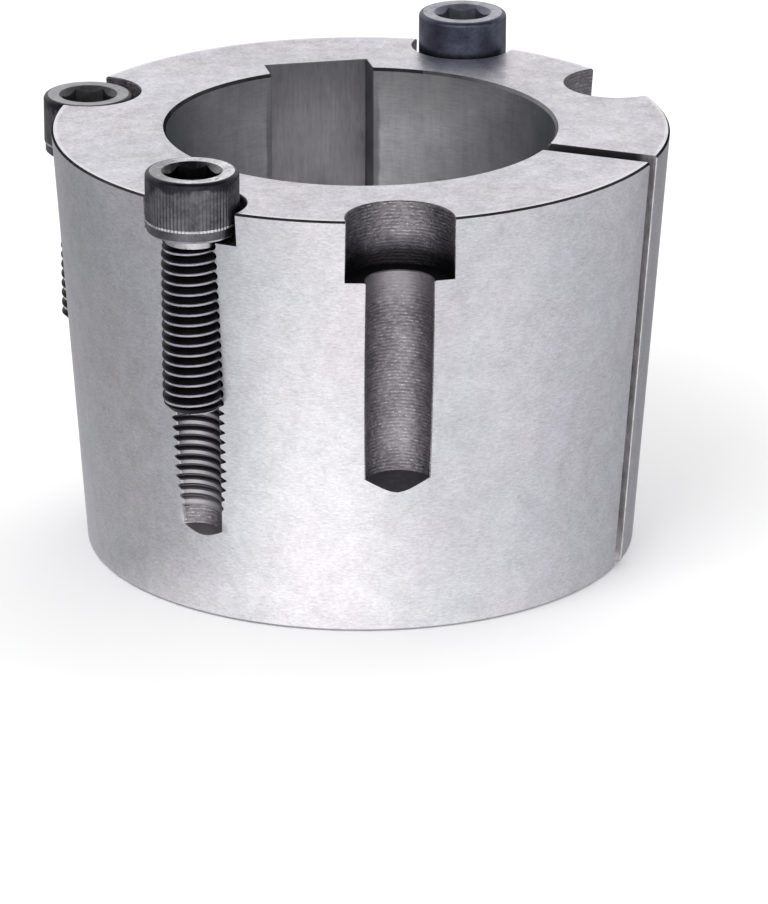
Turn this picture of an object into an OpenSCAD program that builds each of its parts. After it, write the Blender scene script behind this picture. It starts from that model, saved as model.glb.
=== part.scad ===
// Split taper bush with three cap screws.
// A machined sleeve, tapered outside and bored for a shaft, is pulled into a
// tapered hub by screws that sit in half-round holes along its outside.
// Axis on Z, small end on Z = 0, large end up, keyway on the +Y side.

/* [Bush body] */
// Length of the bush along its axis
bush_length = 88.9; // [70:0.1:110]
// Diameter at the large end
large_end_diameter = 127; // [122:0.5:132]
// Slope of the outside, each side, in degrees
taper_half_angle = 4; // [2:0.5:5]
// Width of the edge breaks round the outside
outer_chamfer = 0.5; // [0.2:0.1:1.5]

/* [Bore and keyway] */
// Diameter of the shaft bore
bore_diameter = 80; // [60:1:84]
// Width of the edge breaks at both ends of the bore
bore_chamfer = 0.8; // [0.2:0.1:2]
// Width of the keyway
key_width = 22; // [14:1:25]
// Depth of the keyway below the top of the bore
key_depth = 5.4; // [3:0.1:6]

/* [Split] */
// Width of the slit that lets the bush close
split_width = 4.4; // [2:0.1:6]
// Direction of the slit seen from the large end
split_angle = 326.5; // [325:0.5:329]

/* [Screw holes] */
// Distance of the half-holes' axes inside the edge of the large end
hole_axis_inset = 2.2; // [1.8:0.1:2.7]
// Direction of the front clamping hole
front_hole_angle = 265; // [262:0.5:267]
// Direction of the left clamping hole
left_hole_angle = 145.5; // [142:0.5:149]
// Direction of the right clamping hole
right_hole_angle = 17; // [14:0.5:20]
// Direction of the front removal hole
front_jack_angle = 225; // [222:0.5:228]
// Direction of the back removal hole
back_jack_angle = 57; // [54:0.5:60]
// Diameter of the recess for a screw head
recess_diameter = 21.6; // [20:0.1:22.6]
// Depth of the head recess in a clamping hole
clamp_recess_depth = 13; // [8:0.5:16]
// Diameter of a clamping hole
clamp_hole_diameter = 13.5; // [13.3:0.1:15]
// Depth of a clamping hole at its full diameter, from the large end
clamp_hole_depth = 55.3; // [52:0.1:62]
// Depth of the head recess in a removal hole
jack_recess_depth = 6.9; // [4:0.1:9]
// Depth of the threaded stretch of a removal hole, from the large end
thread_depth = 63; // [58:0.5:66]
// Diameter drilled before the thread is cut
tap_drill_diameter = 10.5; // [10:0.1:11.5]
// Depth of the tap drill at its full diameter, from the large end
tap_drill_depth = 69.7; // [67:0.1:74]
// Included angle of the drill points, in degrees
drill_point_angle = 118; // [100:1:140]

/* [Cap screws] */
// Outside diameter of the thread
screw_diameter = 12.7; // [11.5:0.1:12.8]
// Length of a screw under its head
screw_length = 37; // [32:0.5:42]
// Diameter of the head
head_diameter = 18.7; // [17:0.1:19.2]
// Height of the head
head_height = 12.4; // [10:0.1:13]
// Width across the flats of the hexagon socket
socket_flats = 9.8; // [8:0.1:10.4]
// Depth of the hexagon socket
socket_depth = 6.4; // [4:0.1:8]
// Diameter of the countersink round the socket
socket_rim_diameter = 12; // [11.9:0.1:13]
// Radius that rounds the top of the head
head_rounding = 0.9; // [0.3:0.1:1.5]
// Edge break round the underside of the head
head_chamfer = 0.5; // [0.2:0.1:1]
// Height of the smooth band below the knurl
head_band = 2; // [1:0.1:3]
// Depth of the band below the knurled surface
band_step = 0.25; // [0.1:0.05:0.4]
// Diameter of the plain neck under the head
neck_diameter = 11; // [10:0.1:11.4]
// Length of the plain neck under the head
neck_length = 2.2; // [1:0.1:4]
// Edge break at the end of the thread
screw_end_chamfer = 1.2; // [0.5:0.1:1.5]
// Height that the front screw stands off its recess floor
front_screw_lift = 1.2; // [0.2:0.1:3]
// Height that the back screw stands off its recess floor
back_screw_lift = 1.9; // [0.2:0.1:3]
// Distance that the loose left screw lies outside its hole's axis
left_screw_shift = 0.3; // [0:0.05:0.3]

/* [Hidden] */
$fn = 128;

// Radial clearance between a screw thread and its threaded hole
thread_clearance = 0.05;
// Overshoot that carries a cut through a face
over = 1;
// Step inside the flats of the drill that opens a hexagon socket
socket_drill_step = 0.4;

large_r = large_end_diameter / 2;
small_r = large_r - bush_length * tan(taper_half_angle);
bore_r = bore_diameter / 2;
hole_circle_r = large_r - hole_axis_inset;
tapped_r = screw_diameter / 2 + thread_clearance;
clamp_seat_z = bush_length - clamp_recess_depth;
jack_seat_z = bush_length - jack_recess_depth;

// Radius of the outer taper at height z
function taper_r(z) = small_r + z * tan(taper_half_angle);

// Length of the cone that a drill leaves below a hole of radius r
function point_length(r) = r / tan(drill_point_angle / 2);

// Puts its children on the hole circle in a direction
module on_hole_circle(angle, outward = 0) {
    rotate([0, 0, angle])
        translate([hole_circle_r + outward, 0, 0])
            children();
}

// Cutter of a plain half-hole: the screw passes it and pulls on its recess floor
module clamp_hole() {
    r = clamp_hole_diameter / 2;
    bottom = bush_length - clamp_hole_depth;
    rotate_extrude()
        polygon([
            [0, bottom - point_length(r)],
            [r, bottom],
            [r, clamp_seat_z],
            [recess_diameter / 2, clamp_seat_z],
            [recess_diameter / 2, bush_length + over],
            [0, bush_length + over]
        ]);
}

// Cutter of a threaded half-hole: the screw jacks the bush out of its hub
module jack_hole() {
    r = tap_drill_diameter / 2;
    bottom = bush_length - tap_drill_depth;
    thread_z = bush_length - thread_depth;
    rotate_extrude()
        polygon([
            [0, bottom - point_length(r)],
            [r, bottom],
            [r, thread_z - (tapped_r - r)],
            [tapped_r, thread_z],
            [tapped_r, jack_seat_z],
            [recess_diameter / 2, jack_seat_z],
            [recess_diameter / 2, bush_length + over],
            [0, bush_length + over]
        ]);
}

// Turned sleeve: half of its section, revolved
module sleeve() {
    c = outer_chamfer;
    b = bore_chamfer;
    rotate_extrude()
        polygon([
            [bore_r + b, 0],
            [small_r - c, 0],
            [taper_r(c), c],
            [taper_r(bush_length - c), bush_length - c],
            [large_r - c, bush_length],
            [bore_r + b, bush_length],
            [bore_r, bush_length - b],
            [bore_r, b]
        ]);
}

// Keyway cut the whole length of the bore
module keyway() {
    translate([-key_width / 2, bore_r / 2, -over])
        cube([key_width, bore_r / 2 + key_depth, bush_length + 2 * over]);
}

// Slit from the bore out through the wall
module split() {
    rotate([0, 0, split_angle])
        translate([bore_r / 2, -split_width / 2, -over])
            cube([large_r - bore_r / 2 + over, split_width, bush_length + 2 * over]);
}

module bush() {
    color("silver")
        difference() {
            sleeve();
            keyway();
            split();
            for (angle = [front_hole_angle, left_hole_angle, right_hole_angle])
                on_hole_circle(angle) clamp_hole();
            for (angle = [front_jack_angle, back_jack_angle])
                on_hole_circle(angle) jack_hole();
        }
}

// Points of the quarter round at the top edge of a screw head
function rounding_points(steps = 6) = [
    for (i = [0:steps])
        let (a = 90 * i / steps)
        [
            head_diameter / 2 - head_rounding * (1 - cos(a)),
            head_height - head_rounding * (1 - sin(a))
        ]
];

// Head, neck and threaded shank as one turned shape, underside of the head on Z = 0
module screw_blank() {
    head_r = head_diameter / 2;
    band_r = head_r - band_step;
    shank_r = screw_diameter / 2;
    neck_r = neck_diameter / 2;
    neck_ramp = shank_r - neck_r;
    rotate_extrude()
        polygon(concat(
            [
                [0, -screw_length],
                [shank_r - screw_end_chamfer, -screw_length],
                [shank_r, screw_end_chamfer - screw_length],
                [shank_r, -neck_length - neck_ramp],
                [neck_r, -neck_length],
                [neck_r, 0],
                [band_r - head_chamfer, 0],
                [band_r, head_chamfer],
                [band_r, head_band],
                [head_r, head_band + band_step]
            ],
            rounding_points(),
            [[0, head_height]]
        ));
}

// Hexagon socket with its countersunk rim and drilled bottom
module socket_cut() {
    flats_r = socket_flats / 2;
    drill_r = flats_r - socket_drill_step;
    rim_r = socket_rim_diameter / 2;
    translate([0, 0, head_height - socket_depth])
        cylinder(h = socket_depth + over, r = flats_r / cos(30), $fn = 6);
    translate([0, 0, head_height - (rim_r - drill_r)])
        cylinder(h = rim_r - drill_r + over, r1 = drill_r, r2 = rim_r + over);
    translate([0, 0, head_height - socket_depth - point_length(drill_r)])
        cylinder(h = point_length(drill_r), r1 = 0, r2 = drill_r);
}

module cap_screw() {
    color([0.16, 0.16, 0.18])
        difference() {
            screw_blank();
            socket_cut();
        }
}

// Screw in the threaded hole at the front
module cap_screw_front() {
    on_hole_circle(front_jack_angle)
        translate([0, 0, jack_seat_z + front_screw_lift])
            cap_screw();
}

// Loose screw standing in the plain hole at the left
module cap_screw_left() {
    on_hole_circle(left_hole_angle, left_screw_shift)
        translate([0, 0, clamp_seat_z])
            cap_screw();
}

// Screw in the threaded hole at the back
module cap_screw_back() {
    on_hole_circle(back_jack_angle)
        translate([0, 0, jack_seat_z + back_screw_lift])
            cap_screw();
}

bush();
cap_screw_front();
cap_screw_left();
cap_screw_back();
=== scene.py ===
# Split taper bush with three socket cap screws, on a pale studio floor.
import math

import bmesh
import bpy
import numpy as np
from mathutils import Matrix, Vector


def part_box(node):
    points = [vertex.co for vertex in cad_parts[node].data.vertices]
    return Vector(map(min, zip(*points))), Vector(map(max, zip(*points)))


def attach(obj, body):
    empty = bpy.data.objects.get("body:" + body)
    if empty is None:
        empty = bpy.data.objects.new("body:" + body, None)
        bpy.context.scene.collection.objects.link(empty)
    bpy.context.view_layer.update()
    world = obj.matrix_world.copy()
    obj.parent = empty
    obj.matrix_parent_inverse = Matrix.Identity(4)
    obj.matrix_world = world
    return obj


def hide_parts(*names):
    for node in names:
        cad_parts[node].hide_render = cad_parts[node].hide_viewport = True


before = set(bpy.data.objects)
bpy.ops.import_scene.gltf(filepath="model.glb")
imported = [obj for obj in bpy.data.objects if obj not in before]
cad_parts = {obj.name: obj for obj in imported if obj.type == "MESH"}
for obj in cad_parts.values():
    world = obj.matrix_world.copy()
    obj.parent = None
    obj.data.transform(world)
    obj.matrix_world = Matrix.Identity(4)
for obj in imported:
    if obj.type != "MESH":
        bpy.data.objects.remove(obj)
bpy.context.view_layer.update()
MM = 0.001

# Camera
# It stands where the photograph was taken from: 17 degrees above the large end and 1.2 m away, across from
# the keyway and a little to the left. The lens is long, so the bush shows little perspective.
bush_length = (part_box("bush")[1].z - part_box("bush")[0].z) / MM
photo_width = 768
photo_height = 904
view_turn = math.radians(-12.2)
view_height = math.radians(17.398)
view_distance = 1202.6
view_pan = math.radians(0.2469)
view_tilt = math.radians(-20.602)
view_roll = math.radians(0.1516)
focal_pixels = 5847.1
sensor_width = 36.0

camera_data = bpy.data.cameras.new("camera")
camera_data.sensor_width = sensor_width
camera_data.lens = focal_pixels * sensor_width / max(photo_width, photo_height)
camera_data.clip_start = 0.05
camera_data.clip_end = 20
camera = bpy.data.objects.new("camera", camera_data)
bpy.context.scene.collection.objects.link(camera)
toward_stand = Vector((0, -math.cos(view_height), math.sin(view_height)))
stand = toward_stand * view_distance + Vector((0, 0, bush_length))
camera.matrix_world = (
    Matrix.Rotation(view_turn, 4, "Z")
    @ Matrix.Translation(stand * MM)
    @ Matrix.Rotation(-view_pan, 4, "Z")
    @ Matrix.Rotation(math.pi / 2 + view_tilt, 4, "X")
    @ Matrix.Rotation(view_roll, 4, "Z")
)
bpy.context.scene.camera = camera

# Bush
# An iron sleeve, turned to an 8 degree taper, bored for the shaft, keyed, and slit through one side. Five
# holes are drilled half into its rim: three are plain, for screws that pull it into its hub, and two are
# tapped, for screws that jack it out. Sizes are in millimetres from the small end.
large_r = 63.5
taper_slope = math.tan(math.radians(4))
outer_break = 0.42
bore_r = 40.0
bore_break = 0.6
key_half = 11.0
key_top = 45.4
key_angle = math.radians(90)
split_half = 2.2
split_angle = math.radians(326.5)
edge_break = 0.15
corner_break = 0.2
hole_circle_r = large_r - 2.2
recess_r = 10.8
clamp_seat = bush_length - 13
clamp_r = 6.75
clamp_bottom = bush_length - 55.3
jack_seat = bush_length - 6.9
jack_root_r = 6.4
jack_crest_r = 5.25
jack_thread_end = bush_length - 66
jack_bottom = bush_length - 69.7
mouth_break = 0.25
point_slope = math.tan(math.radians(59))
pitch = 25.4 / 12
thread_start = 66.85
hole_degrees = {"right": 17, "back": 57, "left": 145.5, "front_jack": 225, "front": 265}
hole_angles = np.radians(np.array(list(hole_degrees.values())) + 360)
hole_tapped = [name in ("back", "front_jack") for name in hole_degrees]
hole_columns = 41
bore_columns = 84
outer_column_degrees = 2.2
row_gap = 2.5
step = 1e-5


def outer_radius(z):
    """Radius of the outside at height z: the taper, cut by a 45 degree edge break at each end."""
    small_r = large_r - bush_length * taper_slope
    taper = small_r + z * taper_slope
    return np.minimum(taper, np.minimum(large_r - outer_break + bush_length - z, small_r - outer_break + z))


def bore_radius(z):
    """Radius of the bore at height z, opened by a 45 degree edge break at each end."""
    return bore_r + np.maximum(0, bore_break - np.minimum(z, bush_length - z))


def face_break(z):
    """Growth of a slot or recess at height z, where its edges meet the end faces."""
    return np.maximum(0, edge_break - np.minimum(z, bush_length - z))


def hole_radius(z, tapped):
    """Radius of a half-hole at height z: recess, shank hole and drill point, from the large end down."""
    seat = jack_seat if tapped else clamp_seat
    bottom = jack_bottom if tapped else clamp_bottom
    drill_r = jack_crest_r if tapped else clamp_r
    if tapped:
        shank = np.where(z > jack_thread_end + pitch, jack_root_r, drill_r)
    else:
        shank = np.maximum(drill_r, drill_r + mouth_break - (seat - z))
    point = np.maximum(0, drill_r - (bottom - z) * point_slope)
    return np.select([z > seat, z > bottom], [recess_r + face_break(z), shank], point)


def point_end(tapped):
    """Height at which a drill point leaves the taper: where the hole's inner side meets the outside."""
    bottom = jack_bottom if tapped else clamp_bottom
    drill_r = jack_crest_r if tapped else clamp_r
    inside = outer_radius(bottom) - (hole_circle_r - drill_r)
    return bottom - inside / (point_slope - taper_slope)


def half_width(z, r):
    """Half of the opening that a hole of radius r makes in the outside at height z, from the law of cosines:
    the angle at the hole's axis between the line to the bore and the corner of the opening, the angle at the
    bush's axis of that corner, the width of the corner's edge break, which fades as the opening closes, and
    the radius, which is grown where the hole would not reach the outside."""
    outer = outer_radius(z)
    r = np.maximum(r, hole_circle_r - outer)
    cosine = (hole_circle_r**2 + r**2 - outer**2) / (2 * hole_circle_r * r)
    span = np.arccos(np.clip(cosine, -1, 1))
    corner = np.arctan2(r * np.sin(span), hole_circle_r - r * np.cos(span))
    cut = corner_break * np.clip(span * r / (4 * corner_break), 0, 1)
    return span, corner, cut, r


def polar_arc(start, end, radius, count):
    """Points turned evenly from start to end on a circle: their angles and radii, one row for each height."""
    angle = start + (end - start) * np.linspace(0, 1, count)
    return np.stack([angle, radius + 0 * angle])


def polar_wall(x, y, turn):
    """Angles and radii of points at x along, and y to the left of, a line from the axis at angle turn."""
    return np.stack([turn + np.arctan2(y, x), np.hypot(x, y)])


def outer_columns(begin, end):
    """Number of columns of an arc of the outside, from its longest row."""
    return 3 + int(np.degrees(np.max(end - begin)) / outer_column_degrees)


def bush_outline(z):
    """Closed outline of the sleeve at the heights z, as angles and radii, with the finish of each column and
    the first column of each hole. It runs round the outside from the slit, in and out of the five half-holes,
    down one wall of the slit, back round the bore past the keyway, and up the other wall of the slit."""
    z = z[:, None]
    outer = outer_radius(z)
    bore = bore_radius(z)
    grow = face_break(z)
    parts = []
    kinds = []
    starts = []
    side = split_half + grow
    far_split = split_angle + 2 * math.pi
    far_key = key_angle + 2 * math.pi
    begin = split_angle + np.arcsin(side / outer) + corner_break / outer
    for angle, tapped in zip(hole_angles, hole_tapped):
        span, corner, cut, r = half_width(z, hole_radius(z, tapped))
        end = angle - corner - cut / outer
        count = outer_columns(begin, end)
        parts.append(polar_arc(begin, end, outer, count))
        kinds += [GROUND] * (count - 1) + [DRILLED]
        starts.append(len(kinds))
        turn = (span - cut / r) * np.linspace(-1, 1, hole_columns)
        parts.append(polar_wall(hole_circle_r - r * np.cos(turn), r * np.sin(turn), angle))
        kinds += [DRILLED] * hole_columns
        begin = angle + corner + cut / outer
    end = far_split - np.arcsin(side / outer) - corner_break / outer
    count = outer_columns(begin, end)
    parts.append(polar_arc(begin, end, outer, count))
    kinds += [GROUND] * (count - 1) + [SLIT]
    across = np.concatenate([np.sqrt(outer**2 - side**2) - corner_break, bore + corner_break], 1)
    parts.append(polar_wall(across, -side + 0 * across, far_split))
    kinds += [SLIT, SAWN]
    key_side = key_half + grow
    key_floor = key_top + grow
    lip = corner_break / bore
    parts.append(polar_arc(
        far_split - np.arcsin(side / bore) - lip, far_key + np.arcsin(key_side / bore) + lip,
        bore, bore_columns))
    kinds += [BORED] * bore_columns
    wall = np.concatenate([np.sqrt(bore**2 - key_side**2) + corner_break, key_floor - corner_break], 1)
    parts.append(polar_wall(wall, key_side + 0 * wall, far_key))
    floor_half = key_side - corner_break
    parts.append(polar_wall(key_floor + 0 * wall, floor_half * np.array([1, -1]), far_key))
    parts.append(polar_wall(wall[:, ::-1], -key_side + 0 * wall, far_key))
    kinds += [SAWN, SAWN, BROACHED, SAWN, SAWN, BORED]
    parts.append(polar_arc(
        far_key - np.arcsin(key_side / bore) - lip, split_angle + np.arcsin(side / bore) + lip,
        bore, bore_columns))
    kinds += [BORED] * (bore_columns - 1) + [SAWN]
    parts.append(polar_wall(across[:, ::-1], side + 0 * across, split_angle))
    kinds += [SLIT, SLIT]
    return np.concatenate(parts, 2), np.array(kinds), starts


def cells(index):
    """Corners of the faces between all neighbours of a grid whose rows run down and columns run left."""
    return np.stack([index[:-1, :-1], index[1:, :-1], index[1:, 1:], index[:-1, 1:]], -1)


class Skin:
    """Patches of one surface: points in millimetres, and the faces between them with the finish of each."""

    def __init__(self):
        self.points = []
        self.reliefs = []
        self.faces = []
        self.finishes = []
        self.total = 0

    def add(self, x, y, z, relief=1.0):
        """Keeps a grid of points and returns the grid of their numbers. Relief is the height of each point on
        a thread, from 0 at the root to 1 at the crest."""
        x, y, z, relief = np.broadcast_arrays(x, y, z, relief)
        self.points.append(np.stack([x, y, z], -1).reshape(-1, 3))
        self.reliefs.append(relief.reshape(-1))
        index = self.total + np.arange(x.size).reshape(x.shape)
        self.total += x.size
        return index

    def polygons(self, corners, finish):
        """Keeps faces, one a row of point numbers."""
        self.faces += corners.tolist()
        self.finishes += np.broadcast_to(finish, len(corners)).tolist()

    def quads(self, index, finish=0):
        """Keeps the faces between all neighbours of a grid."""
        corners = cells(index)
        finish = np.broadcast_to(finish, corners.shape[:2])
        self.polygons(corners.reshape(-1, 4), finish.reshape(-1))

    def zip(self, left, right, left_place, right_place, finish=0):
        """Triangles between two lines of points that run side by side: each edge, taken in the order of its
        middle, makes one triangle with the point that the other line has reached."""
        left_middle = (left_place[1:] + left_place[:-1]) / 2
        right_middle = (right_place[1:] + right_place[:-1]) / 2
        order = np.argsort(np.concatenate([left_middle, right_middle]), kind="stable")
        from_left = order < len(left_middle)
        at_left = np.cumsum(from_left) - from_left
        at_right = np.cumsum(~from_left) - ~from_left
        last_left = np.minimum(at_left + 1, len(left) - 1)
        last_right = np.minimum(at_right + 1, len(right) - 1)
        third = np.where(from_left, left[last_left], right[last_right])
        self.polygons(np.stack([left[at_left], third, right[at_right]], -1), finish)

    def piece(self, name, materials, sharp=32):
        """Welds the patches into one closed mesh at their real size and marks its sharp edges. Faces of more
        than four corners are flat ends, so they take no part in the smooth shading."""
        weld_gap = 2e-4 * MM
        mesh = bpy.data.meshes.new(name)
        mesh.from_pydata((np.concatenate(self.points) * MM).tolist(), [], self.faces)
        mesh.polygons.foreach_set("material_index", np.array(self.finishes, np.int32))
        relief = mesh.attributes.new("relief", "FLOAT", "POINT")
        relief.data.foreach_set("value", np.concatenate(self.reliefs).astype(np.float32))
        for material in materials:
            mesh.materials.append(material)
        work = bmesh.new()
        work.from_mesh(mesh)
        bmesh.ops.remove_doubles(work, verts=work.verts, dist=weld_gap)
        bmesh.ops.recalc_face_normals(work, faces=work.faces)
        work.to_mesh(mesh)
        work.free()
        mesh.set_sharp_from_angle(angle=math.radians(sharp))
        corners = np.zeros(len(mesh.polygons), np.int32)
        mesh.polygons.foreach_get("loop_total", corners)
        mesh.polygons.foreach_set("use_smooth", corners < 5)
        made = bpy.data.objects.new(name, mesh)
        bpy.context.scene.collection.objects.link(made)
        return made


# Thread form, in pitches from the middle of a screw's crest, which stands in the root of the hole's thread.
# Heights run from 0 at the root to 1 at the crest. Two screws stand a little above the seats of their holes.
thread_places = np.array([
    0, 0.06, 0.15, 0.25, 0.33, 0.4, 0.45, 0.48, 0.5, 0.52, 0.55, 0.6, 0.67, 0.75, 0.85, 0.94])
screw_crest_r = 6.3
screw_root_r = 5.0
screw_room = 0.06
screw_length = 37.0
front_under = jack_seat + 1.2
back_under = jack_seat + 1.9
screw_tips = {"front_jack": front_under - screw_length, "back": back_under - screw_length}


def screw_thread(place):
    """Height of the outside thread at a place along the pitch: a full round lobe with a narrow root, which is
    one less the power 2.6 of the distance from the crest, to the power 0.625."""
    from_crest = 2 * np.abs((place + 0.5) % 1 - 0.5)
    return (1 - from_crest**2.6) ** 0.625


def hole_thread(place):
    """Depth of the inside thread at a place along the pitch: a sharp V opposite each crest of the screw, with
    a narrow flat at its bottom and a third of a pitch to either side."""
    from_root = np.abs((place + 0.5) % 1 - 0.5)
    return np.clip((0.33 - from_root) / 0.27, 0, 1)


GROUND, FACED, DRILLED, SAWN, BORED, BROACHED, TAPPED, EDGE, LIT_BORE_EDGE, CHIPPED, SLIT = range(11)
levels = [
    bush_length, bush_length - edge_break, bush_length - outer_break, bush_length - bore_break,
    jack_seat + step, jack_seat - step, clamp_seat + step, clamp_seat - step, clamp_seat - mouth_break,
    jack_thread_end + step, jack_thread_end - step, bore_break, outer_break, edge_break, 0,
]
shares = 1 - (1 - np.linspace(0, 1, 9)) ** 2
for tapped, bottom in ((False, clamp_bottom), (True, jack_bottom)):
    levels += list(bottom + (point_end(tapped) - bottom) * shares)
    levels.append(point_end(tapped) - 0.4)
levels += list(np.arange(row_gap, bush_length - 1, row_gap))
heights = np.unique(np.round(levels, 7))[::-1]

skin = Skin()
outline, kinds, starts = bush_outline(heights)
index = skin.add(outline[1] * np.cos(outline[0]), outline[1] * np.sin(outline[0]), heights[:, None])
closed = np.concatenate([index, index[:, :1]], 1)
threaded_rows = (heights < jack_seat) & (heights > jack_thread_end)
first_row = int(np.argmax(threaded_rows))
last_row = int(len(heights) - np.argmax(threaded_rows[::-1]))
keep = np.ones((len(heights) - 1, closed.shape[1] - 1), bool)
for start, tapped in zip(starts, hole_tapped):
    if tapped:
        keep[first_row:last_row - 1, start - 2:start + hole_columns + 1] = False
corners = cells(closed)
finish = np.broadcast_to(kinds, keep.shape).copy()
# Painted dark reflection: the outer edge breaks at the large end take the dark edge finish.
edge_rows = heights[1:] > bush_length - outer_break - step
finish[edge_rows] = np.where(finish[edge_rows] == GROUND, EDGE, finish[edge_rows])
# Painted light and shade: the bore's edge break is a lighter finish on its right part and the dark edge finish
# elsewhere.
bore_rows = heights[1:] > bush_length - bore_break - step
lit_right = np.cos(outline[0][0]) > 0.5
bore_edge = np.where(lit_right, LIT_BORE_EDGE, EDGE)
finish[bore_rows] = np.where(finish[bore_rows] == BORED, bore_edge, finish[bore_rows])
finish[:, -1] = CHIPPED
skin.polygons(corners[keep], finish[keep])
skin.polygons(index[:1], FACED)
skin.polygons(index[-1:, ::-1], FACED)


def tapped_hole(angle, start, screw_tip):
    """The threaded wall of a half-hole. Its rows follow the thread, so each crest and root is one clean line,
    and its columns turn about the hole's axis between the two corners, where the wall meets the taper."""
    low = heights[last_row - 1]
    high = heights[first_row]
    origin = thread_start + pitch * (angle + math.pi) / (2 * math.pi)
    first = math.floor((low - origin) / pitch) - 1
    turns = np.arange(first, first + (high - low) / pitch + 4)
    base = (origin + pitch * (turns[:, None] + thread_places)).reshape(-1, 1)
    place = (base - origin) / pitch

    def height_at(turn):
        return np.clip(base - pitch * turn / (2 * math.pi), low, high)

    def fade_at(z):
        """Share of the thread's full depth: it thins over the last three turns and ends in a short step."""
        return np.clip(0.15 + (z - low) / (4 * pitch), 0, 1) * np.clip((z - low) / (0.1 * pitch), 0, 1)

    def radius_at(z):
        """The thread, opened where the screw needs room, and bevelled where it meets the recess."""
        cut = jack_crest_r + (jack_root_r - jack_crest_r) * hole_thread(place) * fade_at(z)
        room = screw_root_r + (screw_crest_r - screw_root_r) * screw_thread(place) + screw_room
        beside_screw = np.clip(z - screw_tip - 0.3, 0, 1)
        cut = np.maximum(cut, cut + (room - cut) * beside_screw)
        return np.maximum(cut, jack_root_r - (high - z))

    ends = []
    for sign in (-1, 1):
        turn = np.full_like(base, sign * math.pi / 2)
        for _ in range(5):
            z = height_at(turn)
            span, corner, cut, r = half_width(z, radius_at(z))
            turn = sign * span
        ends.append((turn - sign * cut / r, angle + sign * (corner + cut / outer_radius(z)), z))
    (turn_a, corner_a, z_a), (turn_b, corner_b, z_b) = ends
    turn = turn_a + (turn_b - turn_a) * np.linspace(0, 1, hole_columns)
    z = height_at(turn)
    for limit, limit_r in ((low, jack_crest_r), (high, jack_root_r)):
        span, _, cut, _ = half_width(limit, limit_r)
        turn = np.where(z == limit, (span - cut / limit_r) * np.linspace(-1, 1, hole_columns), turn)
    r = radius_at(z)
    wall = polar_wall(hole_circle_r - r * np.cos(turn), r * np.sin(turn), angle)
    angles = np.concatenate([corner_a, wall[0], corner_b], 1)
    radii = np.concatenate([outer_radius(z_a), wall[1], outer_radius(z_b)], 1)
    z = np.concatenate([z_a, z, z_b], 1)
    relief = 1 - hole_thread(place) * np.sqrt(fade_at(z))
    grid = skin.add(radii * np.cos(angles), radii * np.sin(angles), z, relief)[::-1]
    z = z[::-1]
    skin.quads(grid, TAPPED)
    rows = slice(first_row, last_row)
    skin.zip(index[rows, start - 2], grid[:, 0], -heights[rows], -z[:, 0], GROUND)
    skin.zip(grid[:, -1], index[rows, start + hole_columns + 1], -z[:, -1], -heights[rows], GROUND)


for name, angle, start in zip(hole_degrees, hole_angles, starts):
    if name in screw_tips:
        tapped_hole(angle, start, screw_tips[name])


class Signal:
    """A shader socket that can stand in a sum: + - * and / add Math nodes, and take numbers as they are."""

    def __init__(self, tree, socket=None):
        self.tree = tree
        self.socket = socket

    def node(self, kind, settings=None, inputs=None, output=0):
        """Adds a node: its kind, its settings, a ramp's stops among them, and then the values or signals of
        its inputs by name or number. Gives the output of that name or number."""
        made = self.tree.nodes.new("ShaderNode" + kind)
        for name, value in (settings or {}).items():
            if name == "stops":
                ramp = made.color_ramp
                for place, _ in value[1:-1]:
                    ramp.elements.new(place)
                for element, (place, level) in zip(ramp.elements, value):
                    element.position = place
                    element.color = (level, level, level, 1)
            else:
                setattr(made, name, value)
        for name, value in (inputs or {}).items():
            if isinstance(value, Signal):
                self.tree.links.new(value.socket, made.inputs[name])
            else:
                made.inputs[name].default_value = value
        return Signal(self.tree, made.outputs[output])

    def math(self, operation, *others):
        return self.node("Math", {"operation": operation}, dict(enumerate((self, *others))))

    def clamp(self):
        return self.node("Math", {"operation": "ADD", "use_clamp": True}, {0: self, 1: 0.0})

    def __add__(self, other):
        return self.math("ADD", other)

    def __sub__(self, other):
        return self.math("SUBTRACT", other)

    def __rsub__(self, other):
        return self.math("MULTIPLY_ADD", -1.0, other)

    def __mul__(self, other):
        return self.math("MULTIPLY", other)

    def __truediv__(self, other):
        return self.math("DIVIDE", other)

    __radd__ = __add__
    __rmul__ = __mul__

    def stretched(self, x, y, z):
        """A vector signal times a factor for each axis."""
        return self.node("VectorMath", {"operation": "MULTIPLY"}, {0: self, 1: (x, y, z)})

    def part(self, axis):
        """One number of a vector signal."""
        return self.node("SeparateXYZ", None, {0: self}, axis)

    def length(self):
        """Length of a vector signal."""
        return self.node("VectorMath", {"operation": "LENGTH"}, {0: self}, "Value")

    def along(self, direction):
        """How far a vector signal reaches in a direction: their dot product."""
        return self.node("VectorMath", {"operation": "DOT_PRODUCT"}, {0: self, 1: direction}, "Value")

    def past(self, level):
        """0 below a level in metres and 1 above it, with an edge 0.05 mm wide."""
        return ((self - level) * 20000).clamp()

    def relief(self):
        """Height on a thread, from 0 at the root to 1 at the crest, which a piece keeps for each point."""
        return self.node("Attribute", {"attribute_name": "relief"}, None, 2)

    def noise(self, size, detail=2.0, roughness=0.5, distortion=0.0):
        """Noise at this place, whose patches are about size metres across."""
        return self.node("TexNoise", None, {
            "Vector": self, "Scale": 1 / size, "Detail": detail, "Roughness": roughness,
            "Distortion": distortion})

    def colours(self, low, high):
        """The colour low where the signal is 0, and high where it is 1. Each is numbers or a signal."""
        low, high = (end if isinstance(end, Signal) else (*end, 1) for end in (low, high))
        return self.node("Mix", {"data_type": "RGBA"}, {0: self, 6: low, 7: high}, 2)


def metal(name, metallic=1.0):
    """A material with a plain metal shader: the material, its shader and the place on the object."""
    material = bpy.data.materials.new(name)
    material.use_nodes = True
    tree = material.node_tree
    shader = tree.nodes["Principled BSDF"]
    shader.inputs["Metallic"].default_value = metallic
    place = Signal(tree).node("TexCoord", output="Object")
    return material, shader, place


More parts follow.
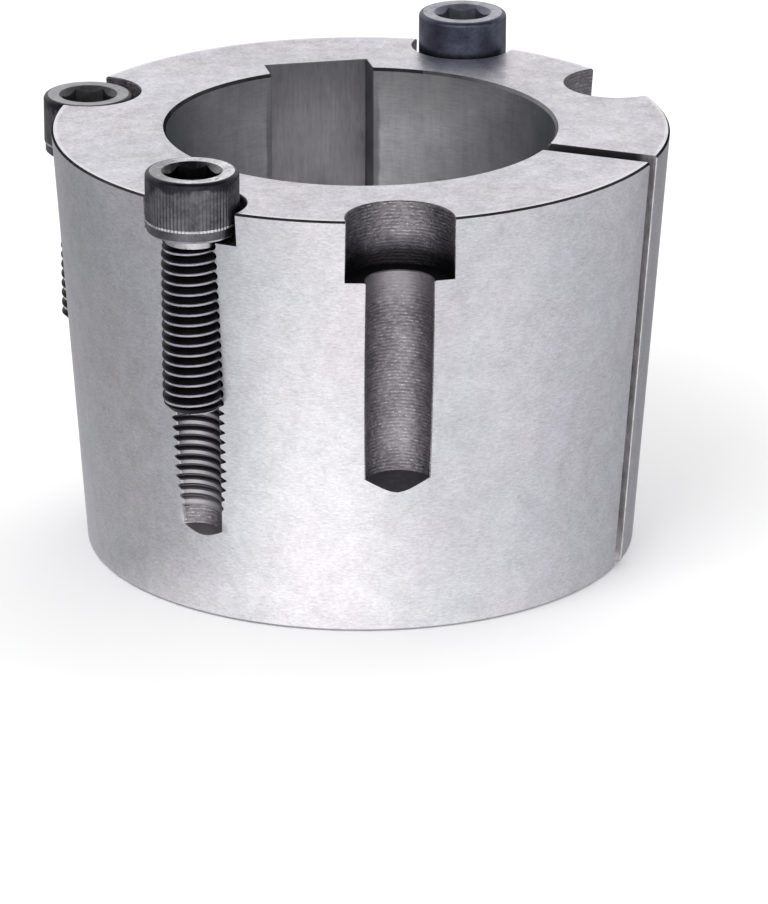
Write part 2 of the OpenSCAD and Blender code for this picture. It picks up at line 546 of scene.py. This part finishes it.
def wire(shader, **signals):
    """Links signals to a shader's sockets, whose names are given with _ for a space."""
    for name, signal in signals.items():
        socket = shader.inputs[name.replace("_", " ").title()]
        signal.tree.links.new(signal.socket, socket)


def raised(height, distance, strength=1.0):
    """A bumped normal: height in 0 to 1 stands for distance in metres."""
    return height.node("Bump", None, {"Strength": strength, "Distance": distance, "Height": height})


def ground_iron(name, dark, light, lay, cloudy, rim=None):
    """Finely ground iron: cloudy patches, a short grain drawn out along the lay, and scattered dark specks.
    Past a rim radius it has a thin bright band of painted highlight."""
    material, shader, place = metal(name)
    drawn = place.stretched(*lay)
    cloud = place.noise(0.02, 3, 0.6)
    patch = place.noise(0.0045, 3, 0.6)
    grain = drawn.noise(0.0013, 3, 0.75)
    fine = drawn.noise(0.0006, 2, 0.7)
    speck = (drawn.noise(0.0009, 2, 0.7) * 14 - 9.6).clamp()
    tone = (cloud * 0.5 + patch * 0.7 - 0.6) * cloudy + grain * 1.5 + fine * 1.1 - 0.8 - speck * 0.3
    if rim:
        # Painted highlight: a thin bright band along the outer rim of the face.
        rim_highlight = ((place.stretched(1, 1, 0).length() - rim) * 1800).clamp()
        tone = tone + rim_highlight * 0.5
    colour = tone.clamp().colours(dark, light)
    patch_hue = ((place.noise(0.028, 2, 0.5) - 0.35) * 3.3).clamp()
    hue = patch_hue.colours((1.0, 0.985, 1.0), (0.965, 0.995, 1.0))
    multiply = {"data_type": "RGBA", "blend_type": "MULTIPLY"}
    wire(shader,
         base_color=hue.node("Mix", multiply, {0: 1.0, 6: colour, 7: hue}, 2),
         roughness=(0.24 + cloud * 0.08 + grain * 0.14).clamp(),
         normal=raised(grain * 0.6 + fine * 0.4, 0.00004, 0.3))
    return material


def drilled_iron(name, dark, light, period):
    """Iron left by a drill: close rings along the hole, broken into short sparks, with painted glints on them.
    They are fainter at the top of a plain hole, which is lighter there with a painted highlight, and in the
    drill points, which are a little darker with painted shade and, below the tapped holes, lighter with
    painted light. The bottoms of the head recesses are nearly black with painted shade, and the recess
    wall of the hole at the right is darker with painted shade."""
    material, shader, place = metal(name)
    height = place.part("Z")
    cloud = place.noise(0.007, 3, 0.6)
    broken = place.noise(0.004, 2, 0.5)
    spark = place.stretched(1, 1, 2.4).noise(0.0013, 3, 0.7)
    ring = (height * (2 * math.pi / period) + broken * 2.5 + spark * 2.8).math("SINE")
    # Painted highlight: bright glints along the rings are put into the colour.
    glint = (place.stretched(1, 1, 1.8).noise(0.0008, 2, 0.6) * 9 - 4.9).clamp() * (ring * 0.9 - 0.1).clamp()
    worn = ((place.stretched(1, 1, 1.5).noise(0.0026, 2, 0.6) - 0.4) * 5).clamp()
    seat = clamp_seat * MM
    tip_top = jack_bottom * MM
    between_points = 0.026
    # The top 8 mm of a plain hole below the seat: calmer rings, and lighter with a painted highlight.
    smooth_lit_top = ((height - (clamp_seat - 8) * MM) / 0.006).clamp() * (1 - height.past(seat))
    in_tapped = height.past(tip_top) * (1 - height.past(between_points))
    # The drill points: calmer rings and a little painted shade.
    point = (1 - height.past(clamp_bottom * MM)) * (1 - in_tapped)
    calm = (1 - smooth_lit_top * 0.7) * (1 - point * 0.8)
    ridge = ((ring * worn * 0.27 + (spark - 0.5) * 2.4) * calm + 0.28 + smooth_lit_top * 0.3).clamp()
    # Painted light: the drill points below the tapped holes are made lighter.
    tip = 1 - height.past(tip_top)
    tone = ridge * 0.45 + cloud * 0.5 + glint * calm * 0.72 + tip * 0.3 - 0.11
    in_recess = height.past(seat - 0.00005)
    # Painted shade: the bottoms of the head recesses darken to nearly black, toward (0.024, 0.022, 0.026).
    corner = in_recess * (1 - (height - (clamp_seat + 2.6) * MM + cloud * 0.004 - 0.002) / 0.0045).clamp()
    # Painted shade: the recess wall of the hole at the right is darker.
    right_wall_shade = ((place.part("X") - 0.046) * 300).clamp() * in_recess * 0.4
    shade_and_stain = (corner * 0.95 + point * 0.25 + right_wall_shade).clamp()
    wire(shader,
         base_color=shade_and_stain.colours(tone.clamp().colours(dark, light), (0.024, 0.022, 0.026)),
         roughness=(0.34 + spark * 0.2).clamp(),
         normal=raised(ridge, 0.00009, 1.0))
    return material


def bored_iron(name, dark, light, lay, rough, metallic=1.0, shade=0.0, stain=None):
    """Iron left by a boring bar, a broach or a saw: close scratches along the lay over a cloudy grey. Shade
    is how dark painted shade makes its top. A stain is how far the darkest strip of the bore reaches to
    either side of the keyway's middle, and with it painted shade also grows toward the sides of the bore."""
    material, shader, place = metal(name, metallic)
    drawn = place.stretched(*lay)
    cloud = place.noise(0.012, 3, 0.65)
    scratch = drawn.noise(0.0022, 3, 0.8)
    cross = place.stretched(1, 1, 0.12).noise(0.0016, 3, 0.7)
    tone = cloud + scratch * 0.9 + cross * 0.6 - 0.75
    colour = tone.clamp().colours(dark, light)
    if shade:
        # Painted shade: the top 15 mm of the bore and keyway are darker.
        from_top = (place.part("Z") - (bush_length - 15) * MM) / 0.015
        shade_and_stain = (from_top + (cloud - 0.5) * 0.3).clamp() * shade
        if stain:
            aside = place.part("X").math("ABSOLUTE")
            strip = (1 - (aside - stain + cloud * 0.0016 - 0.0008) / 0.0007).clamp()
            strip = strip * (place.part("Y") * 1000).clamp()
            # Painted shade: the bore darkens toward its sides, away from the line through the keyway.
            back = place.along((3.9, 24.7, 0))
            side_shade = (1 - back * back).clamp().math("POWER", 1.2) * 0.86
            shade_and_stain = shade_and_stain.math("MAXIMUM", side_shade).math("MAXIMUM", strip * 0.5)
        # The colour goes toward (0.018, 0.026, 0.038) with the painted shade and the stain.
        colour = shade_and_stain.colours(colour, (0.018, 0.026, 0.038))
    wire(shader,
         base_color=colour,
         roughness=(rough + scratch * 0.15).clamp(),
         normal=raised(scratch * 0.7 + cross * 0.3, 0.00004, 0.4))
    return material


def slit_iron(name, dark, light):
    """Walls of the saw cut: light and streaked at the mouth, and dark with painted shade farther in."""
    material, shader, place = metal(name)
    taper_r = place.part("Z") * taper_slope + (large_r - bush_length * taper_slope) * MM
    # Painted shade: the walls darken from 1.5 mm to 4.5 mm in from the taper.
    deep_shade = (taper_r - place.stretched(1, 1, 0).length() - 0.0015) / 0.003
    streak = place.stretched(1, 1, 0.1).noise(0.0008, 3, 0.7)
    chip = place.stretched(1, 1, 0.6).noise(0.0016, 3, 0.7)
    tone = streak * 1.2 + chip - 0.6
    wire(shader,
         base_color=deep_shade.clamp().colours(tone.clamp().colours(dark, light), (0.085, 0.083, 0.095)),
         roughness=(0.4 + chip * 0.2).clamp(),
         normal=raised(chip, 0.00006, 0.5))
    return material


def edge_iron(name, dark, light):
    """Edge breaks, left rough by a file, with a painted dark reflection in their colour and edge tint, so
    they stay dark even where seen aslant.
    """
    material, shader, place = metal(name)
    # Painted dark reflection: the edge tint is kept dark as well.
    shader.inputs["Specular Tint"].default_value = (0.1, 0.1, 0.1, 1)
    cloud = place.noise(0.004, 3, 0.6)
    wire(shader,
         base_color=(cloud * 2 - 0.5).clamp().colours(dark, light),
         roughness=(0.35 + cloud * 0.2).clamp(),
         normal=raised(place.noise(0.0006, 2, 0.6), 0.00002, 0.3))
    return material


def tapped_iron(name, dark, light):
    """Iron cut by a tap: clean crests, and roots that are dark with painted shade."""
    material, shader, place = metal(name)
    relief = place.relief()
    cloud = place.noise(0.004, 3, 0.6)
    fine = place.stretched(1, 1, 4).noise(0.0008, 3, 0.7)
    # Painted shade: the colour darkens from the crests into the roots.
    tone = (relief * 2.1 - 1.05).clamp() * (cloud * 0.6 + fine * 0.8 + 0.2)
    wire(shader,
         base_color=tone.clamp().colours(dark, light),
         roughness=(0.32 + fine * 0.2).clamp(),
         normal=raised(fine, 0.00003, 0.3))
    return material


bush_materials = [
    ground_iron("ground_iron", (0.44, 0.431, 0.470), (0.72, 0.706, 0.765), (1, 1, 3.5), 1.0),
    ground_iron("faced_iron", (0.42, 0.407, 0.450), (0.76, 0.737, 0.805), (1, 1, 1), 1.6, 0.0621),
    drilled_iron("drilled_iron", (0.105, 0.099, 0.113), (0.60, 0.57, 0.635), 0.00072),
    bored_iron("sawn_iron", (0.10, 0.10, 0.115), (0.26, 0.26, 0.28), (1, 1, 4), 0.4),
    bored_iron("bored_iron", (0.452, 0.446, 0.488), (0.975, 0.968, 1.0), (0.8, 0.8, 6), 0.46,
               0.85, 0.55, 0.0119),
    bored_iron("broached_iron", (0.28, 0.27, 0.295), (0.66, 0.635, 0.69), (4, 4, 0.5), 0.48, 0.85, 0.55),
    tapped_iron("tapped_iron", (0.10, 0.096, 0.106), (0.40, 0.383, 0.418)),
    edge_iron("edge_iron", (0.04, 0.04, 0.045), (0.10, 0.098, 0.11)),
    # Painted light: the lighter right part of the bore's edge break.
    bored_iron("lit_bore_edge_iron", (0.12, 0.12, 0.128), (0.24, 0.24, 0.255), (1, 1, 4), 0.3),
    bored_iron("chipped_iron", (0.2, 0.2, 0.21), (0.95, 0.95, 0.97), (1, 1, 1), 0.3),
    slit_iron("slit_iron", (0.26, 0.25, 0.27), (0.80, 0.78, 0.83)),
]
bush = skin.piece("taper_bush", bush_materials)
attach(bush, "root")
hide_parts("bush")

# Cap screws
# Forged and rolled steel screws, blackened, with a knurled head and a hexagon socket. One is run into each
# tapped hole and holds by its thread, and the third stands loose in the plain hole at the left. Sizes are in
# millimetres from the underside of the head.
head_r = 9.35
head_height = 12.4
head_rounding = 0.9
head_chamfer = 0.5
head_band = 2.0
band_step = 0.25
knurl_top = 10.7
knurl_count = 75
knurl_depth = 0.16
rim_r = 6.1
flats_r = 4.9
socket_depth = 6.4
socket_floor_r = 4.5
socket_cone = 2.7
inner_r = 8.0
nick = 0.05
neck_r = 5.5
neck_length = 2.2
screw_tip_r = 4.9
thread_columns = 72
socket_turn = math.radians(-12.2)
BLACK, WORN, KNURLED, THREAD, BAND, NECK, RING, SOCKET, SINK = range(9)


def screw_head(skin, x, y, under, knurl):
    """Revolved head. Each row is a ring of the profile, its radius, height, share of the knurl and finish,
    from the underside round to the bottom of the socket. The knurl is a wave round the side, with four
    columns to each ridge, and the rings of the socket are drawn in to the hexagon's flats."""
    turn = socket_turn + 2 * math.pi * np.arange(4 * knurl_count + 1) / (4 * knurl_count)
    groove = knurl * knurl_depth * (0.5 - 0.5 * np.cos(knurl_count * (turn - socket_turn)))
    from_flat = (turn - socket_turn) % (math.pi / 3) - math.pi / 6
    hexagon = flats_r / np.cos(from_flat)
    rows = [
        (inner_r, 0, 0, BLACK),
        (head_r - band_step - head_chamfer, 0, 0, WORN),
        (head_r - band_step, head_chamfer, 0, BAND),
        (head_r - band_step, head_band, 0, BAND),
        (head_r - nick, head_band + band_step, 1, RING),
        (head_r, head_band + band_step + 0.5, 1, KNURLED),
        (head_r, knurl_top, 1, KNURLED),
        (head_r, knurl_top + 0.4, 0, BLACK),
    ]
    for bend in np.radians(np.arange(0, 90, 15)):
        round_r = head_r - head_rounding * (1 - math.cos(bend))
        rows.append((round_r, head_height - head_rounding * (1 - math.sin(bend)), 0, BLACK))
    rows += [
        (head_r - head_rounding, head_height, 0, WORN),
        (rim_r + 0.1, head_height, 0, WORN),
        (rim_r, head_height - nick, 0, SINK),
    ]
    row_r, row_z, knurled, finish = (np.array(column)[:, None] for column in zip(*rows))
    lip = head_height - nick - (rim_r - hexagon)
    floor = head_height - socket_depth + 0 * turn
    socket_r = np.stack([hexagon, hexagon, np.minimum(hexagon, socket_floor_r), 0 * hexagon])
    radius = np.concatenate([row_r - groove * knurled, socket_r])
    height = np.concatenate([row_z + 0 * turn, np.stack([lip, floor, floor, floor - socket_cone])])
    finish = np.concatenate([finish, np.full((3, 1), SOCKET)])
    relief = height / head_height
    ring = skin.add(x + radius * np.cos(turn), y + radius * np.sin(turn), under + height, relief)
    skin.quads(ring, finish)
    return ring[0], turn


def screw_shank(skin, x, y, under, start):
    """Threaded shank. Its rows climb with the thread, a right-hand helix, so that each crest and root is one
    clean line, and the rows past either end lie on its end ring. The thread runs out into the neck over half
    a turn, and into the end chamfer."""
    turn = socket_turn + 2 * math.pi * np.arange(thread_columns + 1) / thread_columns
    tip = under - screw_length
    top = under - neck_length
    first = math.floor((tip - start) / pitch) - 2
    turns = np.arange(first, first + screw_length / pitch + 4)
    base = (start + pitch * (turns[:, None] + thread_places)).reshape(-1, 1)
    place = (base - start) / pitch
    z = np.clip(base + pitch * turn / (2 * math.pi), tip, top)
    thread = screw_root_r + (screw_crest_r - screw_root_r) * screw_thread(place)
    runout = np.clip((top - z) / (0.5 * pitch), 0, 1)
    radius = np.minimum(neck_r + (thread - neck_r) * runout, screw_tip_r + z - tip)
    relief = 1 - (1 - screw_thread(place)) * runout
    shank = skin.add(x + radius * np.cos(turn), y + radius * np.sin(turn), z, relief)
    skin.quads(shank, THREAD)
    end_radius = np.array([[screw_tip_r], [0]])
    skin.quads(skin.add(x + end_radius * np.cos(turn), y + end_radius * np.sin(turn), tip), BLACK)
    neck_height = np.array([[top], [under - 0.2], [under]])
    neck_radius = np.array([[neck_r], [neck_r], [neck_r + 0.2]])
    neck = skin.add(x + neck_radius * np.cos(turn), y + neck_radius * np.sin(turn), neck_height)
    skin.quads(neck, NECK)
    return neck[-1], turn


def black_steel(name, dark, light, rough, worn=None, shoulder_shading=0.0):
    """Blackened steel: a dark oxide with dull patches, near white in the roots of a thread below a relief of
    worn and, on the side of a head, darker with painted shade toward the shoulder in uneven clouds."""
    material, shader, place = metal(name)
    dull = place.noise(0.0035, 4, 0.7)
    fine = place.noise(0.0006, 2, 0.6)
    relief = place.relief()
    # Painted shade: the side of a head darkens toward its shoulder.
    shoulder_shade = ((relief - 0.78 + (place.noise(0.004, 2, 0.5) - 0.5) * 0.5) * 7).clamp() * shoulder_shading
    colour = (dull * 1.8 + fine * 0.6 - 0.7 - shoulder_shade).clamp().colours(dark, light)
    if worn:
        # Near-white lines in the roots of a thread, below the relief given as worn.
        bright = ((worn - relief) * 7 + fine * 0.4 - 0.2).clamp()
        colour = bright.colours(colour, (0.94, 0.92, 0.98))
    wire(shader,
         base_color=colour,
         roughness=(rough + dull * 0.2).clamp(),
         normal=raised(dull + fine, 0.00002, 0.3))
    return material


def worn_steel(name, dark, light, darker_side=None):
    """Steel rubbed bright on the faces that tools and fingers touch, with dark flecks of oxide left in it.
    It is darker on one side: past a distance from the axis of the bush in a direction."""
    material, shader, place = metal(name)
    dull = place.noise(0.003, 3, 0.6)
    fleck = place.noise(0.0007, 2, 0.6)
    spot = (place.noise(0.0012, 2, 0.6) * 14 - 8.7).clamp()
    tone = dull * 1.7 + fleck * 0.7 - 0.6 - spot * 0.8
    # Darker past a distance from the bush's axis in a given direction.
    if darker_side:
        direction, distance = darker_side
        along = place.along(direction)
        tone = tone - ((along - distance + (dull - 0.5) * 0.01) * 220).clamp() * 0.62
    wire(shader,
         base_color=tone.clamp().colours(dark, light),
         roughness=(0.28 + dull * 0.2).clamp(),
         normal=raised(fleck, 0.00002, 0.3))
    return material


to_the_left = (-0.977, 0.211, 0)
screw_materials = [
    black_steel("black_oxide", (0.013, 0.012, 0.016), (0.052, 0.05, 0.06), 0.3),
    worn_steel("rubbed_steel", (0.26, 0.256, 0.275), (0.90, 0.888, 0.93), (to_the_left, 0.0345)),
    black_steel("knurled_oxide", (0.036, 0.035, 0.042), (0.187, 0.184, 0.204), 0.3, None, 0.9),
    black_steel("thread_oxide", (0.001, 0.001, 0.001), (0.006, 0.006, 0.007), 0.3, 0.66),
    black_steel("band_oxide", (0.069, 0.067, 0.076), (0.167, 0.162, 0.182), 0.3),
    worn_steel("neck_steel", (0.245, 0.24, 0.258), (0.625, 0.612, 0.65)),
    worn_steel("ring_steel", (0.22, 0.217, 0.232), (0.76, 0.75, 0.79)),
    black_steel("socket_oxide", (0.012, 0.012, 0.015), (0.05, 0.05, 0.056), 0.3),
    worn_steel("sink_steel", (0.024, 0.024, 0.027), (0.24, 0.236, 0.25), (to_the_left, 0.0285)),
]
dull_materials = screw_materials.copy()
dull_materials[WORN] = worn_steel("dull_steel", (0.20, 0.195, 0.21), (0.40, 0.39, 0.415))
# Painted light: the left screw's socket and countersink are a lighter copy of the socket oxide.
dull_materials[SOCKET] = black_steel("lit_dull_socket", (0.06, 0.059, 0.064), (0.17, 0.167, 0.18), 0.45)
dull_materials[SINK] = dull_materials[SOCKET]
blued_materials = screw_materials.copy()
blued_materials[BLACK] = black_steel("blued_oxide", (0.041, 0.0445, 0.067), (0.122, 0.132, 0.183), 0.3)
blued_materials[KNURLED] = black_steel("blued_side", (0.045, 0.049, 0.074), (0.13, 0.141, 0.195), 0.3)
blued_materials[WORN] = worn_steel("blued_steel", (0.15, 0.158, 0.19), (0.48, 0.495, 0.56))
# Painted light: the back screw's socket and countersink are a lighter, bluer copy of the socket oxide.
blued_materials[SOCKET] = black_steel("lit_blued_socket", (0.13, 0.14, 0.18), (0.30, 0.32, 0.39), 0.45)
blued_materials[SINK] = blued_materials[SOCKET]
left_shift = 0.3
screws = (
    ("screw_front", "cap_screw_front", "front_jack", 0, front_under, 1, screw_materials),
    ("screw_left", "cap_screw_left", "left", left_shift, clamp_seat, 0, dull_materials),
    ("screw_back", "cap_screw_back", "back", 0, back_under, 0, blued_materials),
)
for name, node, hole, outward, under, knurl, materials in screws:
    skin = Skin()
    angle = math.radians(hole_degrees[hole])
    x = (hole_circle_r + outward) * math.cos(angle)
    y = (hole_circle_r + outward) * math.sin(angle)
    head_ring, head_turn = screw_head(skin, x, y, under, knurl)
    neck_ring, neck_turn = screw_shank(skin, x, y, under, thread_start)
    skin.zip(head_ring, neck_ring, head_turn, neck_turn, BLACK)
    screw = skin.piece(name, materials)
    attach(screw, "root")
    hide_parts(node)

# Studio
# A wide pale floor, a soft surround that is bright in front and darker at the sides and overhead, two large
# soft lamps, and a card. The metal sees the surround in every direction, so the floor keeps only the shadow.


def sheet(name, size, height, material):
    """A level square of this size at a height above the floor, both in metres."""
    half = size / 2
    mesh = bpy.data.meshes.new(name)
    corners = [(-half, -half, height), (half, -half, height), (half, half, height), (-half, half, height)]
    mesh.from_pydata(corners, [], [(0, 1, 2, 3)])
    mesh.materials.append(material)
    made = bpy.data.objects.new(name, mesh)
    bpy.context.scene.collection.objects.link(made)
    return made


floor_material, floor_shader, _ = metal("floor_paper", 0.0)
floor_shader.inputs["Base Color"].default_value = (0.93, 0.93, 0.935, 1)
floor_shader.inputs["Roughness"].default_value = 0.9
floor = sheet("floor", 6.0, -0.0001, floor_material)
floor.visible_glossy = False

world = bpy.data.worlds.new("surround")
bpy.context.scene.world = world
world.use_nodes = True
world.cycles.sampling_method = "NONE"
tree = world.node_tree
toward_camera = view_turn - math.pi / 2
ahead_way = (math.cos(toward_camera), math.sin(toward_camera), 0)
beside_way = (-math.sin(toward_camera), math.cos(toward_camera), 0)
sky = Signal(tree).node("TexCoord", output="Generated")
ahead = sky.along(ahead_way)
beside = sky.along(beside_way)
bearing = beside.math("ARCTAN2", ahead) / (2 * math.pi) + 0.5
surround_levels = (
    (0.0, 0.50), (0.125, 0.42), (0.23, 0.475), (0.335, 0.64), (0.375, 0.97), (0.43, 1.2), (0.49, 1.30),
    (0.55, 1.1), (0.60, 1.0), (0.66, 1.13), (0.73, 0.89), (0.82, 0.66), (0.87, 0.62), (0.91, 0.20),
    (0.95, 0.34), (1.0, 0.70),
)
brightest = 2
stops = [(place, level / brightest) for place, level in surround_levels]
around = bearing.node("ValToRGB", {"stops": stops}, {0: bearing}) * brightest
rise = sky.part("Z")
above = (rise * 8).clamp()
overhead = ((rise - 0.55) * 4).clamp() * (ahead * 2 + 1).clamp()
right = ((rise - 0.35) * 4).clamp() * ((beside - 0.3) * 3).clamp()
behind = (ahead * -3).clamp()
before = ((ahead - 0.5) * 3).clamp()
ceiling = (0.48 + behind * 0.6 + before * 1.12) * (1 - overhead.math("MAXIMUM", right) * 0.65)
seen = around * (1 - above) + above * ceiling
is_camera = sky.node("LightPath", output="Is Camera Ray")
is_glossy = sky.node("LightPath", output="Is Glossy Ray")
is_through = sky.node("LightPath", output="Is Transmission Ray")
ambient = 0.8
level = is_glossy * seen + (is_camera + is_through) + (1 - is_glossy - is_camera - is_through) * ambient
warm_white = (1, 0.998, 0.95)
warmth = (((seen - 0.9) * 2.5).clamp() * is_glossy).colours((1, 1, 1), warm_white)
background = tree.nodes["Background"]
tree.links.new(warmth.socket, background.inputs["Color"])
tree.links.new(level.socket, background.inputs["Strength"])


def soft_lamp(name, bearing, rise, distance, size, power):
    """A square lamp aimed at the bush from a bearing off the camera's side and an angle above the floor."""
    data = bpy.data.lights.new(name, "AREA")
    data.shape = "SQUARE"
    data.size = size
    data.energy = power
    lamp = bpy.data.objects.new(name, data)
    bpy.context.scene.collection.objects.link(lamp)
    turn = toward_camera + bearing
    aim = Vector((math.cos(turn) * math.cos(rise), math.sin(turn) * math.cos(rise), math.sin(rise)))
    lamp.location = aim * distance + Vector((0, 0, bush_length / 2 * MM))
    lamp.rotation_euler = aim.to_track_quat("Z", "Y").to_euler()
    lamp.visible_glossy = False
    return lamp


soft_lamp("key_lamp", math.radians(-35), math.radians(50), 1.2, 0.7, 6)
soft_lamp("back_lamp", math.radians(150), math.radians(55), 1.3, 0.9, 5)

# A white card lies before the bush, where only its polished front sees it. One soft spot of it brightens the
# foot of the front, a small one the metal right of the threaded hole, and a faint glow the left of the foot.
card_material, _, card_place = metal("card_white", 0.0)
card = sheet("card", 0.6, 0.0005, card_material)
card_ahead = card_place.along(ahead_way)
card_beside = card_place.along(beside_way)
front_spot = card_place.node("CombineXYZ", None, {0: card_ahead - 0.1, 1: card_beside * 2.05 + 0.036, 2: 0.0})
glow = (1 - front_spot.length() / 0.14).clamp()
left_glow = (1 - (card_place.length() - 0.06) / 0.15).clamp() * (card_beside * -16).clamp() * 0.09
side_spot = card_place.node("CombineXYZ", None, {0: card_ahead - 0.115, 1: card_beside + 0.078, 2: 0.0})
side_glow = (1 - side_spot.length() / 0.05).clamp() * 0.42
cover = (glow * glow * (3 - glow * 2) * 0.7).math("MAXIMUM", left_glow) + side_glow
light = cover.node("Emission", None, {"Color": (*warm_white, 1), "Strength": 2.0})
clear = cover.node("BsdfTransparent")
shown = cover.node("MixShader", None, {0: cover, 1: clear, 2: light})
card_output = card_material.node_tree.nodes["Material Output"]
card_material.node_tree.links.new(shown.socket, card_output.inputs["Surface"])
card.visible_camera = False
card.visible_diffuse = False
card.visible_shadow = False

bpy.context.scene.view_settings.view_transform = "Standard"
